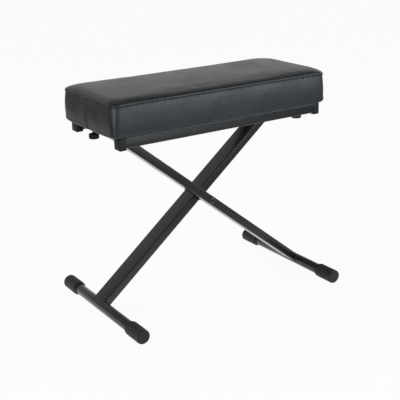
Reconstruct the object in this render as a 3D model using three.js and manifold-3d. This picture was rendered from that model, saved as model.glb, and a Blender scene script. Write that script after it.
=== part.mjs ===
// Folding keyboard bench: a boxed vinyl cushion on two rails, carried by a pair of
// crossed steel legs with round foot tubes. Millimetres, +Z up, floor at zero,
// +X towards the right end of the seat and +Y away from the player.
import * as THREE from 'three';
import { mergeVertices } from 'three/addons/utils/BufferGeometryUtils.js';
import Module from 'manifold-3d';

const wasm = await Module();
wasm.setup();

// Fits between pieces
const seatedGap = 0.25;
const runningGap = 0.3;
const cutOverrun = 5;

// Roundness of curved pieces, as numbers of sides or steps
const tubeSides = 24;
const boltSides = 16;
const screwSides = 10;
const cornerSteps = 3;
const knobOutlineSteps = 32;

// Crossed legs
const legWidth = 52;
const legThickness = 22;
const legWall = 1.5;
const legCornerRadius = 4;
const legLowerLength = 385;
const legUpperLength = 340;
const legSpacing = 4;
const openAngle = THREE.MathUtils.degToRad(39.1);

// Foot tubes and their rubber caps
const footSpan = 399;
const footShift = 4;
const footTubeRadius = 14;
const footTubeWall = 1.8;
const footCapRadius = 18.4;
const footCapLength = 68;
const footCapEndWall = 5;
const footCapEdgeRadius = 4;
const footCapEdgeSteps = 2;
const footCapFlatWidth = 12;
const footCapCollarRadius = 15.4;
const footCapCollarLength = 8;
const footCapMouthBevel = 1.5;
const fluteCount = 24;
const fluteDepth = 0.8;

// Cross tubes at the tops of the legs
const crossTubeLength = 176;
const crossTubeRadius = 8;
const crossTubeWall = 1.6;
const plugFlange = 1.6;
const plugDepth = 10;

// Blocks that carry the cross tubes, and the steel strips above them
const blockRoof = 1.7;
const blockRadius = 12;
const blockWidth = 24;
const blockOffset = 72;
const earLength = 15;
const earThickness = 5;
const stripEndMargin = 4;
const stripWidth = 24;
const stripThickness = 3;

// Lock screws
const studRadius = 4;
const knobRadius = 13;
const knobHeight = 12;
const knobBevel = 1.5;
const knobDrop = 21;
const knobLobeCount = 8;
const knobLobeDepth = 0.9;
const knobGripDepth = 8;

// Rails under the seat, and their end caps
const railEndInset = 22;
const railWidth = 25;
const railHeight = 25;
const railWall = 1.6;
const railCornerRadius = 2.5;
const railInset = 7.5;
const railAccessRadius = 6;
const railCapEndWall = 4.5;
const railCapSleeve = 14;
const railCapLip = 4.5;
const railCapSideLip = 1;
const railPlugDepth = 20;

// Seat board and cushion
const boardThickness = 12;
const boardMargin = 10;
const boardCornerRadius = 12;
const cushionLength = 631;
const cushionDepth = 260;
const cushionCornerRadius = 20;
const boxingHeight = 73.5;
const sideDrawIn = 1.5;
const seamGroove = 1.4;
const seamHalfWidth = 1.6;
const edgeRollWidth = 24;
const edgeRollRise = 12.5;
const crownRise = 5.5;
const cornerDrop = 5;
const cornerDropReach = 90;
const cushionCornerSteps = 5;
const straightSteps = 6;
const sideSteps = 5;
const rollSteps = 4;
const crownSteps = 5;

// Centre pivot
const pivotBoltRadius = 5;
const pivotHeadRadius = 10;
const pivotHeadHeight = 4.5;
const pivotSleeveRadius = 7;
const spacerRadius = 14;
const pivotWasherRadius = 11;
const pivotWasherThickness = 2;
const pivotNutAcrossFlats = 17;
const pivotNutHeight = 10;
const pivotThreadEnd = 3;
const domeSteps = 5;

// Countersunk wood screws
const screwRadius = 2.2;
const screwHeadRadius = 4.6;
const screwHeadHeight = 2.4;
const screwBite = 8;
const railScrewPlaceShares = { left: -0.42, middle: 0, right: 0.42 };
const stripScrewPlaceShares = { left: -0.92, middle: 0.04 };

// Places that follow from the sizes above
const flatDepth = footCapRadius - Math.sqrt(footCapRadius ** 2 - (footCapFlatWidth / 2) ** 2);
const footAxisHeight = footCapRadius - flatDepth;
const legLength = legLowerLength + legUpperLength;
const footReach = legLowerLength * Math.cos(openAngle);
const crossReach = legUpperLength * Math.cos(openAngle);
const pivotHeight = footAxisHeight + legLowerLength * Math.sin(openAngle);
const crossHeight = footAxisHeight + legLength * Math.sin(openAngle);
const legOffset = (legSpacing + legWidth) / 2;
const blockBore = crossTubeRadius + runningGap;
const blockTop = blockBore + blockRoof;
const stripBottom = crossHeight + blockTop + runningGap;
const stripTop = stripBottom + stripThickness;
const stripReach = crossReach + blockRadius + earLength + stripEndMargin;
const boardBottom = stripTop + seatedGap;
const railTop = boardBottom - seatedGap;
const railLength = cushionLength - 2 * railEndInset;
const railOffset = cushionDepth / 2 - railInset - railWidth / 2;
const seamHeight = boardBottom + boxingHeight;

const vinyl = new THREE.MeshStandardMaterial({ color: 0x2b2d2f, roughness: 0.5 });
const blackSteel = new THREE.MeshStandardMaterial({ color: 0x232425, roughness: 0.45, metalness: 0.3 });
const zincSteel = new THREE.MeshStandardMaterial({ color: 0xa9adb0, roughness: 0.35, metalness: 0.9 });
const rubber = new THREE.MeshStandardMaterial({ color: 0x1b1c1c, roughness: 0.8 });
const plastic = new THREE.MeshStandardMaterial({ color: 0x202122, roughness: 0.55 });
const nylon = new THREE.MeshStandardMaterial({ color: 0x2a2b2c, roughness: 0.6 });
const plywood = new THREE.MeshStandardMaterial({ color: 0x3a2f25, roughness: 0.8 });

// Geometry helpers
function toSolid(geometry) {
  const bare = geometry.clone();
  bare.deleteAttribute('normal');
  bare.deleteAttribute('uv');
  const merged = mergeVertices(bare);
  const index = merged.index.array;
  const corners = [];
  for (let i = 0; i < index.length; i += 3) {
    const [a, b, c] = [index[i], index[i + 1], index[i + 2]];
    if (a !== b && b !== c && c !== a) {
      corners.push(a, b, c);
    }
  }
  return new wasm.Manifold(new wasm.Mesh({
    numProp: 3,
    vertProperties: new Float32Array(merged.attributes.position.array),
    triVerts: new Uint32Array(corners),
  }));
}

function fromSolid(solid) {
  const mesh = solid.getMesh();
  const geometry = new THREE.BufferGeometry();
  geometry.setAttribute('position', new THREE.BufferAttribute(new Float32Array(mesh.vertProperties), 3));
  geometry.setIndex(new THREE.BufferAttribute(new Uint32Array(mesh.triVerts), 1));
  geometry.computeVertexNormals();
  return geometry;
}

function cutAway(geometry, cutters) {
  let solid = toSolid(geometry);
  for (const cutter of cutters) {
    solid = solid.subtract(toSolid(cutter));
  }
  return fromSolid(solid);
}

function join(geometries) {
  let solid = toSolid(geometries[0]);
  for (const geometry of geometries.slice(1)) {
    solid = solid.add(toSolid(geometry));
  }
  return fromSolid(solid);
}

function boxBetween([x0, y0, z0], [x1, y1, z1]) {
  const geometry = new THREE.BoxGeometry(x1 - x0, y1 - y0, z1 - z0);
  return geometry.translate((x0 + x1) / 2, (y0 + y1) / 2, (z0 + z1) / 2);
}

// A rectangle with round corners, centred on the origin of its plane
function roundedRectangle(target, width, height, radius) {
  const x = width / 2 - radius;
  const y = height / 2 - radius;
  target.absarc(x, y, radius, 0, Math.PI / 2);
  target.absarc(-x, y, radius, Math.PI / 2, Math.PI);
  target.absarc(-x, -y, radius, Math.PI, Math.PI * 3 / 2);
  target.absarc(x, -y, radius, Math.PI * 3 / 2, Math.PI * 2);
  target.closePath();
  return target;
}

function extrude(shape, depth, curveSegments) {
  return new THREE.ExtrudeGeometry(shape, { depth, bevelEnabled: false, curveSegments });
}

// The shape's x becomes Y and its y becomes Z; the length runs from zero along +X
function extrudeAlongX(shape, length, curveSegments) {
  return extrude(shape, length, curveSegments).rotateX(Math.PI / 2).rotateZ(Math.PI / 2);
}

// The shape's x stays X and its y becomes Z; the width is centred on Y
function extrudeAcrossY(shape, width, curveSegments) {
  return extrude(shape, width, curveSegments).rotateX(Math.PI / 2).translate(0, width / 2, 0);
}

function rectangularTube(width, height, wall, radius, length) {
  const shape = roundedRectangle(new THREE.Shape(), width, height, radius);
  shape.holes.push(roundedRectangle(new THREE.Path(), width - 2 * wall, height - 2 * wall, radius - wall));
  return extrudeAlongX(shape, length, cornerSteps);
}

// Turned pieces lie along Y; each point of a profile is [radius, place along Y]
function turned(profile, sides) {
  return new THREE.LatheGeometry(profile.map(([radius, y]) => new THREE.Vector2(radius, y)), sides);
}

function ringAlongY(innerRadius, outerRadius, from, to, sides) {
  const start = [innerRadius, from];
  return turned([start, [outerRadius, from], [outerRadius, to], [innerRadius, to], start], sides);
}

function rodAlongY(radius, from, to, sides) {
  return turned([[0, from], [radius, from], [radius, to], [0, to]], sides);
}

function rodAlongZ(radius, from, to, sides) {
  return rodAlongY(radius, from, to, sides).rotateX(Math.PI / 2);
}

const bench = new THREE.Group();

function groupAt(x, y, z) {
  const group = new THREE.Group();
  group.position.set(x, y, z);
  bench.add(group);
  return group;
}

function addMesh(parent, name, geometry, material) {
  const mesh = new THREE.Mesh(geometry, material);
  mesh.name = name;
  parent.add(mesh);
  return mesh;
}

// Screws stand head down with the head's face at zero; clearance grows one into its own hole
function screwAt(place, length, clearance) {
  const profile = [
    [0, -clearance],
    [screwHeadRadius + clearance, -clearance],
    [screwHeadRadius + clearance, 0],
    [screwRadius + clearance, screwHeadHeight],
    [screwRadius + clearance, length - screwRadius],
    [0, length + clearance],
  ];
  return turned(profile, screwSides).rotateX(Math.PI / 2).translate(...place);
}

// Cushion outline at one inset: round corners joined by evenly divided straight runs
function cushionRing(inset) {
  const x = cushionLength / 2 - inset;
  const y = cushionDepth / 2 - inset;
  const radius = Math.min(cushionCornerRadius, y / 2);
  const signs = [[1, 1], [-1, 1], [-1, -1], [1, -1]];
  const corners = signs.map(([signX, signY], quarter) => {
    const arc = [];
    for (let i = 0; i <= cushionCornerSteps; i += 1) {
      const angle = (quarter + i / cushionCornerSteps) * Math.PI / 2;
      const alongX = signX * (x - radius) + radius * Math.cos(angle);
      const alongY = signY * (y - radius) + radius * Math.sin(angle);
      arc.push(new THREE.Vector2(alongX, alongY));
    }
    return arc;
  });
  const ring = [];
  corners.forEach((arc, quarter) => {
    ring.push(...arc);
    const from = arc[cushionCornerSteps];
    const to = corners[(quarter + 1) % corners.length][0];
    for (let i = 1; i < straightSteps; i += 1) {
      ring.push(from.clone().lerp(to, i / straightSteps));
    }
  });
  return ring;
}

// How far the sewn edge sinks near a corner of the seat
function dropAt(point) {
  const beyondX = cushionLength / 2 - Math.abs(point.x);
  const beyondY = cushionDepth / 2 - Math.abs(point.y);
  const closeness = Math.max(0, 1 - Math.hypot(beyondX, beyondY) / cornerDropReach);
  return cornerDrop * closeness ** 2;
}

// Levels of the cushion from its bottom edge to its crown
function cushionLevels() {
  const levels = [];
  for (let i = 0; i <= sideSteps; i += 1) {
    const share = i / sideSteps;
    const inset = sideDrawIn * (2 * share - 1) ** 2;
    const height = boardBottom + share * (boxingHeight - seamHalfWidth);
    levels.push({ inset, height, sinkShare: share });
  }
  levels.push({ inset: sideDrawIn + seamGroove, height: seamHeight, sinkShare: 1 });
  for (let i = 0; i <= rollSteps; i += 1) {
    const angle = i / rollSteps * Math.PI / 2;
    const inset = sideDrawIn + (edgeRollWidth - sideDrawIn) * (1 - Math.cos(angle));
    const rise = seamHalfWidth + (edgeRollRise - seamHalfWidth) * Math.sin(angle);
    levels.push({ inset, height: seamHeight + rise, sinkShare: 1 });
  }
  const crownWidth = cushionDepth / 2 - edgeRollWidth;
  for (let i = 1; i < crownSteps; i += 1) {
    const share = i / crownSteps;
    const inset = edgeRollWidth + crownWidth * share;
    const rise = edgeRollRise + crownRise * (1 - (1 - share) ** 2);
    levels.push({ inset, height: seamHeight + rise, sinkShare: 1 });
  }
  return levels;
}

function cushionBody() {
  const positions = [];
  const indices = [];
  const levels = cushionLevels();
  const count = cushionRing(0).length;
  for (const { inset, height, sinkShare } of levels) {
    for (const point of cushionRing(inset)) {
      positions.push(point.x, point.y, height - sinkShare * dropAt(point));
    }
  }
  const top = levels.length - 1;
  const bottomCentre = levels.length * count;
  positions.push(0, 0, levels[0].height, 0, 0, levels[top].height);
  for (let i = 0; i < count; i += 1) {
    const next = (i + 1) % count;
    for (let level = 0; level < top; level += 1) {
      const row = level * count;
      indices.push(row + i, row + next, row + count + next);
      indices.push(row + i, row + count + next, row + count + i);
    }
    indices.push(bottomCentre, next, i);
    indices.push(bottomCentre + 1, top * count + i, top * count + next);
  }
  const geometry = new THREE.BufferGeometry();
  geometry.setAttribute('position', new THREE.Float32BufferAttribute(positions, 3));
  geometry.setIndex(indices);
  return geometry;
}

function boardShape(growth) {
  const length = cushionLength - 2 * boardMargin + 2 * growth;
  const depth = cushionDepth - 2 * boardMargin + 2 * growth;
  return roundedRectangle(new THREE.Shape(), length, depth, boardCornerRadius + growth);
}

// Every screw that bites into the seat board: where its head lies and how long it is
const seatScrews = [];

function planScrew(name, x, y, headHeight) {
  seatScrews.push({ name, place: [x, y, headHeight], length: boardBottom + screwBite - headHeight });
}

for (const [side, sign] of [['front', -1], ['rear', 1]]) {
  for (const [where, share] of Object.entries(railScrewPlaceShares)) {
    planScrew(`${side}_rail_screw_${where}`, share * railLength, sign * railOffset, railTop - railWall);
  }
  for (const [where, share] of Object.entries(stripScrewPlaceShares)) {
    planScrew(`${side}_strip_screw_${where}`, share * stripReach, sign * blockOffset, stripBottom);
  }
  for (const [where, end] of [['inner', -1], ['outer', 1]]) {
    const x = crossReach + end * (blockRadius + earLength / 2);
    planScrew(`${side}_saddle_screw_${where}`, x, sign * blockOffset, crossHeight + blockTop - earThickness);
  }
}

function screwHoles() {
  return seatScrews.map(({ place, length }) => screwAt(place, length, seatedGap));
}

// Seat: cushion, board and the screws that hold the metal to it
function addSeat() {
  const seat = groupAt(0, 0, 0);
  const pocketDepth = cutOverrun + boardThickness + seatedGap;
  const pocket = extrude(boardShape(seatedGap), pocketDepth, cushionCornerSteps);
  pocket.translate(0, 0, boardBottom - cutOverrun);
  addMesh(seat, 'seat_cushion', cutAway(cushionBody(), [pocket]), vinyl);
  const board = extrude(boardShape(0), boardThickness, cushionCornerSteps).translate(0, 0, boardBottom);
  addMesh(seat, 'seat_board', cutAway(board, screwHoles()), plywood);
  for (const { name, place, length } of seatScrews) {
    addMesh(seat, name, screwAt(place, length, 0), zincSteel);
  }
}

// End cap of a rail, drawn for the rail's +X end with that end at x = 0 and the rail's top at z = 0
function railCap() {
  const halfWidth = railWidth / 2;
  const face = seatedGap + railCapEndWall;
  const lipSide = halfWidth + seatedGap + railCapSideLip;
  const lipBottom = -railHeight - railCapLip;
  const plugSide = halfWidth - railWall - runningGap;
  const shell = boxBetween([-railCapSleeve, -lipSide, lipBottom], [face, lipSide, 0]);
  const rail = boxBetween(
    [-railCapSleeve - cutOverrun, -halfWidth - seatedGap, -railHeight - seatedGap],
    [seatedGap, halfWidth + seatedGap, cutOverrun],
  );
  const plug = boxBetween(
    [-railPlugDepth, -plugSide, -railHeight + railWall + runningGap],
    [face, plugSide, -railWall - runningGap],
  );
  return join([cutAway(shell, [rail]), plug]);
}

function addRails() {
  const accessFrom = railTop - railHeight - cutOverrun;
  const accessTo = railTop - railHeight + railWall + cutOverrun;
  for (const [side, sign] of [['front', -1], ['rear', 1]]) {
    const rails = groupAt(0, 0, 0);
    const tube = rectangularTube(railWidth, railHeight, railWall, railCornerRadius, railLength);
    tube.translate(-railLength / 2, sign * railOffset, railTop - railHeight / 2);
    const accessHoles = Object.values(railScrewPlaceShares).map((share) => {
      const hole = rodAlongZ(railAccessRadius, accessFrom, accessTo, screwSides);
      return hole.translate(share * railLength, sign * railOffset, 0);
    });
    addMesh(rails, `${side}_rail`, cutAway(tube, [...screwHoles(), ...accessHoles]), blackSteel);
    for (const [end, turn] of [['right', 0], ['left', Math.PI]]) {
      const cap = addMesh(rails, `${side}_rail_${end}_cap`, railCap(), plastic);
      cap.rotation.z = turn;
      cap.position.set(Math.cos(turn) * railLength / 2, sign * railOffset, railTop);
    }
  }
}

function addStrips() {
  for (const [side, sign] of [['front', -1], ['rear', 1]]) {
    const from = [-stripReach, sign * blockOffset - stripWidth / 2, stripBottom];
    const to = [stripReach, sign * blockOffset + stripWidth / 2, stripTop];
    addMesh(bench, `${side}_strip`, cutAway(boxBetween(from, to), screwHoles()), zincSteel);
  }
}

// A block hangs from a strip and wraps a cross tube, whose axis is its origin
function blockShape(withEars) {
  const shape = new THREE.Shape();
  shape.absarc(0, 0, blockRadius, Math.PI, Math.PI * 2);
  if (withEars) {
    shape.lineTo(blockRadius, blockTop - earThickness);
    shape.lineTo(blockRadius + earLength, blockTop - earThickness);
    shape.lineTo(blockRadius + earLength, blockTop);
    shape.lineTo(-blockRadius - earLength, blockTop);
    shape.lineTo(-blockRadius - earLength, blockTop - earThickness);
    shape.lineTo(-blockRadius, blockTop - earThickness);
  } else {
    shape.lineTo(blockRadius, blockTop);
    shape.lineTo(-blockRadius, blockTop);
  }
  shape.closePath();
  shape.holes.push(new THREE.Path().absarc(0, 0, blockBore, 0, Math.PI * 2));
  return shape;
}

function blockAt(sideSign, reach, withEars, withLock) {
  const block = extrudeAcrossY(blockShape(withEars), blockWidth, tubeSides / 2);
  block.translate(reach, sideSign * blockOffset, crossHeight);
  const cutters = withEars ? screwHoles() : [];
  if (withLock) {
    const from = crossHeight - blockRadius - cutOverrun;
    const hole = rodAlongZ(studRadius + runningGap, from, crossHeight, boltSides);
    cutters.push(hole.translate(reach, sideSign * blockOffset, 0));
  }
  return cutAway(block, cutters);
}

// Lobed knob with a blind bore, its top at z = 0
function knobGeometry() {
  const bevelledRadius = knobRadius - knobBevel;
  const shape = new THREE.Shape();
  for (let i = 0; i < knobOutlineSteps; i += 1) {
    const angle = i / knobOutlineSteps * Math.PI * 2;
    const dip = knobLobeDepth * (1 - Math.cos(knobLobeCount * angle)) / 2;
    const x = (bevelledRadius - dip) * Math.cos(angle);
    const y = (bevelledRadius - dip) * Math.sin(angle);
    if (i === 0) {
      shape.moveTo(x, y);
    } else {
      shape.lineTo(x, y);
    }
  }
  shape.closePath();
  const body = new THREE.ExtrudeGeometry(shape, {
    depth: knobHeight - 2 * knobBevel,
    bevelThickness: knobBevel,
    bevelSize: knobBevel,
    bevelSegments: 2,
  });
  body.translate(0, 0, knobBevel - knobHeight);
  const bore = rodAlongZ(studRadius + seatedGap, -knobGripDepth - seatedGap, cutOverrun, boltSides);
  return cutAway(body, [bore]);
}

function addLock(end, sideSign, reach) {
  const lock = groupAt(reach, sideSign * blockOffset, crossHeight - knobDrop);
  const studTop = knobDrop - crossTubeRadius - seatedGap;
  addMesh(lock, `${end}_lock_knob`, knobGeometry(), plastic);
  addMesh(lock, `${end}_lock_stud`, rodAlongZ(studRadius, -knobGripDepth, studTop, boltSides), zincSteel);
}

// The right cross tube turns in two saddles; the left one in two blocks that slide under the strips
function addBlocksAndLocks() {
  addMesh(bench, 'front_saddle', blockAt(-1, crossReach, true, true), blackSteel);
  addMesh(bench, 'rear_saddle', blockAt(1, crossReach, true, false), blackSteel);
  addMesh(bench, 'front_slide_block', blockAt(-1, -crossReach, false, false), nylon);
  addMesh(bench, 'rear_slide_block', blockAt(1, -crossReach, false, true), nylon);
  addLock('right', -1, crossReach);
  addLock('left', 1, -crossReach);
}

// Leg tube along local +X from the foot tube's axis to the cross tube's axis
function legTube() {
  const start = footTubeRadius / 2;
  const tube = rectangularTube(legWidth, legThickness, legWall, legCornerRadius, legLength - start);
  tube.translate(start, 0, 0);
  const reach = legWidth / 2 + cutOverrun;
  const footCope = rodAlongY(footTubeRadius + seatedGap, -reach, reach, tubeSides);
  const crossCope = rodAlongY(crossTubeRadius + seatedGap, -reach, reach, tubeSides);
  crossCope.translate(legLength, 0, 0);
  const pivotHole = rodAlongY(pivotSleeveRadius + seatedGap, -reach, reach, tubeSides);
  pivotHole.translate(legLowerLength, 0, 0);
  return cutAway(tube, [footCope, crossCope, pivotHole]);
}

// A closed body along Y through rings; every second point of a ring sinks by the ring's flute depth
function flutedBody(rings) {
  const sides = fluteCount * 2;
  const positions = [];
  const indices = [];
  for (const { radius, y, depth } of rings) {
    for (let i = 0; i < sides; i += 1) {
      const angle = i / sides * Math.PI * 2;
      const reach = radius - depth * (i % 2);
      positions.push(reach * Math.cos(angle), y, -reach * Math.sin(angle));
    }
  }
  const top = rings.length - 1;
  const centre = rings.length * sides;
  positions.push(0, rings[0].y, 0, 0, rings[top].y, 0);
  for (let i = 0; i < sides; i += 1) {
    const next = (i + 1) % sides;
    for (let ring = 0; ring < top; ring += 1) {
      const row = ring * sides;
      indices.push(row + i, row + next, row + sides + next);
      indices.push(row + i, row + sides + next, row + sides + i);
    }
    indices.push(centre, next, i);
    indices.push(centre + 1, top * sides + i, top * sides + next);
  }
  const geometry = new THREE.BufferGeometry();
  geometry.setAttribute('position', new THREE.Float32BufferAttribute(positions, 3));
  geometry.setIndex(indices);
  return geometry;
}

// Rubber cap along local +Y, open at y = 0: a plain collar, then flutes along the sleeve
function footCap() {
  const bevelEnd = footCapCollarLength + footCapMouthBevel;
  const rings = [
    { radius: footCapCollarRadius, y: 0, depth: 0 },
    { radius: footCapCollarRadius, y: footCapCollarLength, depth: 0 },
    { radius: footCapRadius - footCapMouthBevel / 2, y: footCapCollarLength, depth: fluteDepth / 2 },
    { radius: footCapRadius, y: bevelEnd, depth: fluteDepth },
  ];
  for (let i = 0; i <= footCapEdgeSteps; i += 1) {
    const angle = i / footCapEdgeSteps * Math.PI / 2;
    const radius = footCapRadius - footCapEdgeRadius * (1 - Math.cos(angle));
    const y = footCapLength - footCapEdgeRadius * (1 - Math.sin(angle));
    rings.push({ radius, y, depth: fluteDepth * Math.cos(angle) });
  }
  const bore = rodAlongY(footTubeRadius + seatedGap, -cutOverrun, footCapLength - footCapEndWall, tubeSides);
  return cutAway(flutedBody(rings), [bore]);
}

// One foot: a tube whose middle lies a little towards its own leg, with a cap on each end
function addFoot(end, x, offsetSign) {
  const foot = groupAt(x, offsetSign * footShift, footAxisHeight);
  const halfTube = footSpan / 2 - footCapEndWall - seatedGap;
  const tube = ringAlongY(footTubeRadius - footTubeWall, footTubeRadius, -halfTube, halfTube, tubeSides);
  addMesh(foot, `${end}_foot_tube`, tube, blackSteel);
  const floorCut = boxBetween(
    [-footCapRadius, -footSpan, -footCapRadius - cutOverrun],
    [footCapRadius, footSpan, -footAxisHeight],
  );
  const mouth = footSpan / 2 - footCapLength;
  for (const [side, turn] of [['front', Math.PI], ['rear', 0]]) {
    const cap = footCap().translate(0, mouth, 0).rotateZ(turn);
    addMesh(foot, `${end}_foot_${side}_cap`, cutAway(cap, [floorCut]), rubber);
  }
}

function addCrossTube(end, x) {
  const cross = groupAt(x, 0, crossHeight);
  const half = crossTubeLength / 2;
  const innerRadius = crossTubeRadius - crossTubeWall;
  addMesh(cross, `${end}_cross_tube`, ringAlongY(innerRadius, crossTubeRadius, -half, half, tubeSides), blackSteel);
  const stem = innerRadius - seatedGap;
  for (const [side, turn] of [['front', Math.PI], ['rear', 0]]) {
    const plug = turned([
      [0, half - plugDepth],
      [stem, half - plugDepth],
      [stem, half + seatedGap],
      [crossTubeRadius, half + seatedGap],
      [crossTubeRadius, half + plugFlange],
      [0, half + plugFlange],
    ], boltSides);
    addMesh(cross, `${end}_cross_${side}_plug`, plug.rotateZ(turn), plastic);
  }
}

// One leg: its foot end stands at footSign and it rises to the other side
function addLeg(name, footSign, offsetSign) {
  const leg = groupAt(footSign * footReach, offsetSign * legOffset, footAxisHeight);
  leg.rotation.y = footSign < 0 ? -openAngle : openAngle - Math.PI;
  addMesh(leg, `${name}_leg_tube`, legTube(), blackSteel);
  const half = legWidth / 2;
  const bore = pivotBoltRadius + runningGap;
  const sleeve = ringAlongY(bore, pivotSleeveRadius, -half, half, boltSides);
  addMesh(leg, `${name}_leg_sleeve`, sleeve.translate(legLowerLength, 0, 0), zincSteel);
}

function hexagonRing(acrossFlats, bore, thickness) {
  const shape = new THREE.Shape();
  const sides = 6;
  const corner = acrossFlats / 2 / Math.cos(Math.PI / sides);
  for (let i = 0; i < sides; i += 1) {
    const angle = i / sides * Math.PI * 2;
    const point = [corner * Math.cos(angle), corner * Math.sin(angle)];
    if (i === 0) {
      shape.moveTo(...point);
    } else {
      shape.lineTo(...point);
    }
  }
  shape.closePath();
  shape.holes.push(new THREE.Path().absarc(0, 0, bore, 0, Math.PI * 2));
  return extrudeAcrossY(shape, thickness, boltSides);
}

// Centre pivot along Y: domed bolt from the front, nylon spacer between the legs, lock nut behind
function addPivot() {
  const pivot = groupAt(0, 0, pivotHeight);
  const legFace = legSpacing / 2 + legWidth;
  const headFace = -legFace - seatedGap;
  const washerFrom = legFace + seatedGap;
  const nutFrom = washerFrom + pivotWasherThickness + seatedGap;
  const bore = pivotBoltRadius + seatedGap;
  const bolt = [];
  for (let i = 0; i <= domeSteps; i += 1) {
    const angle = i / domeSteps * Math.PI / 2;
    bolt.push([pivotHeadRadius * Math.sin(angle), headFace - pivotHeadHeight * Math.cos(angle)]);
  }
  bolt.push([pivotBoltRadius, headFace]);
  bolt.push([pivotBoltRadius, nutFrom + pivotNutHeight + pivotThreadEnd]);
  bolt.push([0, nutFrom + pivotNutHeight + pivotThreadEnd]);
  addMesh(pivot, 'pivot_bolt', turned(bolt, boltSides), blackSteel);
  const spacerHalf = legSpacing / 2 - runningGap;
  const spacer = ringAlongY(bore, spacerRadius, -spacerHalf, spacerHalf, tubeSides);
  addMesh(pivot, 'pivot_spacer', spacer, nylon);
  const washerTo = washerFrom + pivotWasherThickness;
  addMesh(pivot, 'pivot_washer', ringAlongY(bore, pivotWasherRadius, washerFrom, washerTo, tubeSides), zincSteel);
  const nut = hexagonRing(pivotNutAcrossFlats, bore, pivotNutHeight);
  addMesh(pivot, 'pivot_nut', nut.translate(0, nutFrom + pivotNutHeight / 2, 0), zincSteel);
}

addSeat();
addRails();
addStrips();
addBlocksAndLocks();
addLeg('rear', -1, 1);
addLeg('front', 1, -1);
addFoot('left', -footReach, 1);
addFoot('right', footReach, -1);
addCrossTube('right', crossReach);
addCrossTube('left', -crossReach);
addPivot();

export default bench;
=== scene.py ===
import bmesh
import bpy
import numpy as np
from mathutils import Matrix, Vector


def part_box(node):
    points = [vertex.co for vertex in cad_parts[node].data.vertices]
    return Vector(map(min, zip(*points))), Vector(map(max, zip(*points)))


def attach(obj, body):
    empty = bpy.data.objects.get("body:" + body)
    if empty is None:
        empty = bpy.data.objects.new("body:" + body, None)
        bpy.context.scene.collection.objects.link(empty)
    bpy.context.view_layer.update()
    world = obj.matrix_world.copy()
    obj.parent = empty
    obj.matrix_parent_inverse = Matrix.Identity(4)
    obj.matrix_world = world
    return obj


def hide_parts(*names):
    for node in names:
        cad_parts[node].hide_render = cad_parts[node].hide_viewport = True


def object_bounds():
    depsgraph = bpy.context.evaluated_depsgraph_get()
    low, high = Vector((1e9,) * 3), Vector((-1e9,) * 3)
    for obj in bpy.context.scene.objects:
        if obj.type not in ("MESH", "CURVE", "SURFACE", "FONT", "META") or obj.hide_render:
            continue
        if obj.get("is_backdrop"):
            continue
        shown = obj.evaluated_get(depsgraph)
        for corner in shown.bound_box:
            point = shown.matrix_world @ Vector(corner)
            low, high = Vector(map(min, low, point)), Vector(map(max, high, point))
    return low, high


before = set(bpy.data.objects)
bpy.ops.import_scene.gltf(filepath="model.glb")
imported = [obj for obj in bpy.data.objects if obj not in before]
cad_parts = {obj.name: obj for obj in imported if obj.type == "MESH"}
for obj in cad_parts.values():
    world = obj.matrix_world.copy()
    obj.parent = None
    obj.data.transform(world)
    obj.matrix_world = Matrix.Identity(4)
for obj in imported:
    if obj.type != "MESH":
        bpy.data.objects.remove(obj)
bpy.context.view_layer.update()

# Sizes in millimetres, those of the solids except for the softer cushion and the fuller knobs
OPEN_ANGLE = np.radians(39.1)
LEG_WIDTH, LEG_THICKNESS, LEG_WALL, LEG_CORNER, LEG_SPACING = 52.0, 22.0, 1.5, 4.0, 4.0
LEG_LOWER, LEG_UPPER = 385.0, 340.0
FOOT_SPAN, FOOT_SHIFT, FOOT_RADIUS, FOOT_WALL, FOOT_FLAT = 399.0, 4.0, 14.0, 1.8, 12.0
CAP_RADIUS, CAP_LENGTH, CAP_END_WALL = 18.4, 68.0, 5.0
COLLAR_RADIUS, COLLAR_LENGTH, FLUTES, FLUTE_DEPTH = 15.4, 8.0, 24, 1.0
CROSS_RADIUS, CROSS_WALL, CROSS_LENGTH, PLUG_FLANGE, PLUG_DEPTH = 8.0, 1.6, 176.0, 1.6, 10.0
BLOCK_OFFSET, KNOB_DROP, KNOB_RADIUS, KNOB_HEIGHT, STUD_RADIUS = 72.0, 18.5, 13.4, 13.0, 4.0
BOLT_RADIUS, HEAD_RADIUS, HEAD_HEIGHT, SPACER_RADIUS = 5.0, 10.0, 4.5, 14.0
WASHER_RADIUS, WASHER_THICKNESS, NUT_FLATS, NUT_HEIGHT, THREAD_END = 11.0, 2.0, 17.0, 10.0, 3.0
RAIL_PLUG, RAIL_SLEEVE = 20.0, 14.0
CUSHION_CORNER, BASE_CORNER, DRAW_IN, BOXING = 21.0, 14.0, 1.5, 75.5
CORNER_GROWTH, ROLL_WIDTH, ROLL_RISE, CROWN = 0.5, 23.0, 11.5, 3.2
CORNER_DROP, DROP_TILT, CORNER_REACH = 3.6, 0.4, 65.0
GAP, RUNNING_GAP = 0.25, 0.3

# Fine work of the cover: hem, lower edge, its lift at the corners, pleats, the boxing's join, seams
HEM_WIDTH, HEM_SWAY, HEM_LIFT, UNDERSIDE = 25.0, 1.5, 0.6, -0.1
EDGE_FLAT, EDGE_INSET, EDGE_RISE = 8.0, 6.5, 8.0
TUCK_RISE, TUCK_REACH, TUCK_HEIGHT = 4.0, 30.0, 30.0
PLEAT_DEPTH, PLEAT_REACH, PLEAT_INSET = 1.5, 7.0, 6.0
LAP, LAP_STEP, LAP_SLOPE, JOIN_DEPTH, JOIN_RIDGE, JOIN_WIDTH = 21.0, 0.8, 1.2, 0.9, 0.3, 1.3
STITCH_ROWS, STITCH_PITCH, SEAM_LIP = (-5.0, -16.5), 4.6, 3.1
SWELL, PUCKER, DIMPLE = 0.4, 0.22, 0.5


def extent(node):
    """The lowest and highest corner of a solid, in millimetres."""
    return [np.array(corner) * 1000 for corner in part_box(node)]


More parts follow.
